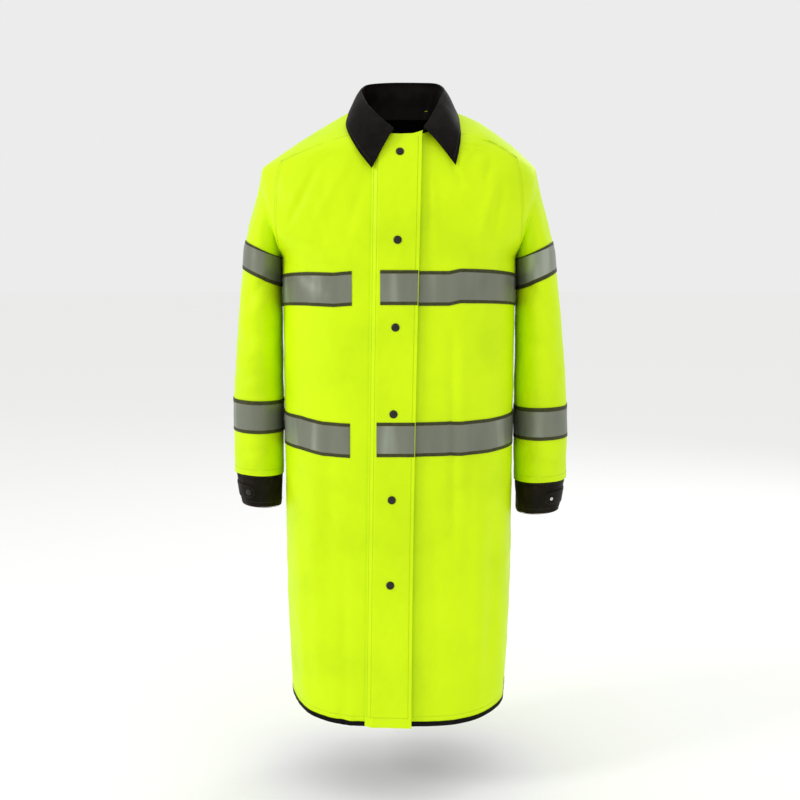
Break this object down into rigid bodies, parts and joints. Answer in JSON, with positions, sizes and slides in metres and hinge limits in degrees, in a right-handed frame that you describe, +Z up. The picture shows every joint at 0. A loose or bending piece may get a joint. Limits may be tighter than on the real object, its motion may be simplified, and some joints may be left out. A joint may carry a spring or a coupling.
{
  "type": "reversible high-visibility raincoat",
  "caption": "Knee-length reversible high-visibility raincoat with snap storm flap, reflective bands, raglan sleeves and black collar and cuffs.",
  "frame": {"origin": "neck point: on the mid-plane, level with the top of the shoulders, where the wearer or a hanger holds the coat", "axes": "+X to the wearer's left, +Y to the back, +Z up"},
  "size_m": [0.6606, 0.3128, 1.2178],
  "materials": {
    "shell_lime": "coated, slightly glossy",
    "reverse_black": "coated, matt",
    "reflective_tape": "glass-bead silver with dark edges",
    "trim_black": "woven, matt",
    "snap_dark": "moulded, satin",
    "stud_metal": "pressed"
  },
  "bodies": {
    "torso": {"back_panel": "shell_lime", "back_lining": "reverse_black", "right_front_yoke": "shell_lime", "left_front_yoke": "shell_lime", "right_yoke_lining": "reverse_black", "left_yoke_lining": "reverse_black", "right_raglan": "shell_lime", "left_raglan": "shell_lime", "collar_stand": "trim_black", "collar_fall": "trim_black", "flap_upper": "shell_lime", "placket_upper": "shell_lime", "snap_cap_1": "snap_dark", "snap_cap_2": "snap_dark", "snap_stud_1": "stud_metal", "snap_stud_2": "stud_metal", "hem_binding_back": "trim_black", "chest_tape_back": "reflective_tape", "waist_tape_back": "reflective_tape", "chest_tape_right_side": "reflective_tape", "chest_tape_left_side": "reflective_tape", "waist_tape_right_side": "reflective_tape", "waist_tape_left_side": "reflective_tape"},
    "right_front": {"right_front_skirt": "shell_lime", "right_skirt_lining": "reverse_black", "flap_middle": "shell_lime", "chest_tape_flap": "reflective_tape", "snap_cap_3": "snap_dark", "chest_tape_right_front": "reflective_tape", "waist_tape_right_front": "reflective_tape", "hem_binding_right": "trim_black"},
    "flap": {"flap_lower": "shell_lime", "waist_tape_flap": "reflective_tape", "snap_cap_4": "snap_dark", "snap_cap_5": "snap_dark", "snap_cap_6": "snap_dark"},
    "left_front": {"left_front_skirt": "shell_lime", "left_skirt_lining": "reverse_black", "placket_lower": "shell_lime", "snap_stud_3": "stud_metal", "snap_stud_4": "stud_metal", "snap_stud_5": "stud_metal", "snap_stud_6": "stud_metal", "chest_tape_left_front": "reflective_tape", "waist_tape_left_front": "reflective_tape", "hem_binding_left": "trim_black"},
    "right_arm": {"right_sleeve_upper": "shell_lime", "right_band_upper": "reflective_tape"},
    "right_forearm": {"right_sleeve_lower": "shell_lime", "right_band_lower": "reflective_tape", "right_cuff": "trim_black"},
    "right_tab": {"right_cuff_tab": "trim_black", "right_tab_cap": "snap_dark"},
    "left_arm": {"left_sleeve_upper": "shell_lime", "left_band_upper": "reflective_tape"},
    "left_forearm": {"left_sleeve_lower": "shell_lime", "left_band_lower": "reflective_tape", "left_cuff": "trim_black"},
    "left_tab": {"left_cuff_tab": "trim_black", "left_tab_cap": "snap_dark"}
  },
  "joints": [
    {"name": "right_front_swing", "type": "hinge", "parent": "torso", "child": "right_front", "pos_m": [-0.19, -0.1115, -0.29], "axis": [-0.0046, -0.0023, -1], "range_deg": [0, 75]},
    {"name": "left_front_swing", "type": "hinge", "parent": "torso", "child": "left_front", "pos_m": [0.19, -0.1115, -0.29], "axis": [-0.0046, 0.0023, 1], "range_deg": [0, 48.75]},
    {"name": "flap_lift", "type": "hinge", "parent": "right_front", "child": "flap", "pos_m": [-0.0557, -0.1536, -0.56], "axis": [-0.0136, -0.0005, -0.9999], "range_deg": [0, 100]},
    {"name": "right_arm_raise", "type": "hinge", "parent": "torso", "child": "right_arm", "pos_m": [-0.2687, 0, -0.1141], "axis": [0, 1, 0], "range_deg": [0, 90]},
    {"name": "right_elbow_bend", "type": "hinge", "parent": "right_arm", "child": "right_forearm", "pos_m": [-0.275, -0.0799, -0.454], "axis": [-0.9916, 0, 0.1293], "range_deg": [0, 90]},
    {"name": "right_tab_open", "type": "hinge", "parent": "right_forearm", "child": "right_tab", "pos_m": [-0.3239, 0, -0.733], "axis": [0.1616, 0, -0.9869], "range_deg": [0, 100]},
    {"name": "left_arm_raise", "type": "hinge", "parent": "torso", "child": "left_arm", "pos_m": [0.2687, 0, -0.1141], "axis": [0, -1, 0], "range_deg": [0, 90]},
    {"name": "left_elbow_bend", "type": "hinge", "parent": "left_arm", "child": "left_forearm", "pos_m": [0.275, -0.0799, -0.454], "axis": [-0.9916, 0, -0.1293], "range_deg": [0, 90]},
    {"name": "left_tab_open", "type": "hinge", "parent": "left_forearm", "child": "left_tab", "pos_m": [0.3239, 0, -0.733], "axis": [0.1616, 0, 0.9869], "range_deg": [0, 100]}
  ],
  "couplings": [
    {"joint": "left_front_swing", "follows": "right_front_swing", "ratio": 0.65}
  ]
}
